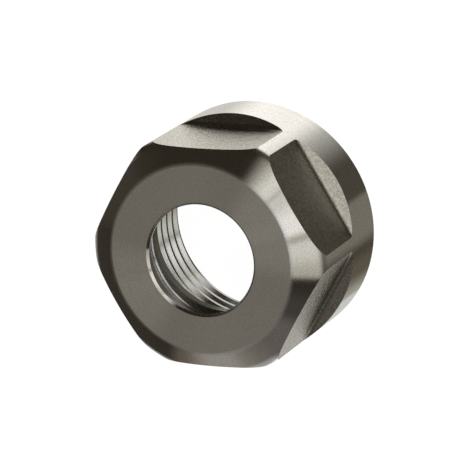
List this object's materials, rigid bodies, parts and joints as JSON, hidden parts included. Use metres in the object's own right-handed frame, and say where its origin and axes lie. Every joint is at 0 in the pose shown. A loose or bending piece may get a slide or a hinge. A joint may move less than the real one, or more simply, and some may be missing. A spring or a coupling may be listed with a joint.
{
  "type": "collet nut",
  "caption": "Hexagonal steel collet nut with a nose cone, an internal collet seat, an eccentric extraction lip and a fine-threaded end.",
  "frame": {"origin": "centre of the threaded end face, on which the nut stands", "axes": "+Z along the nut's axis from the threaded end to the nose; +X square to one of the six flats"},
  "size_m": [0.028, 0.028, 0.017],
  "materials": {
    "nut_steel": "fine-turned satin with grainy milled flats"
  },
  "bodies": {
    "root": {"collet_nut": "nut_steel"}
  },
  "joints": []
}
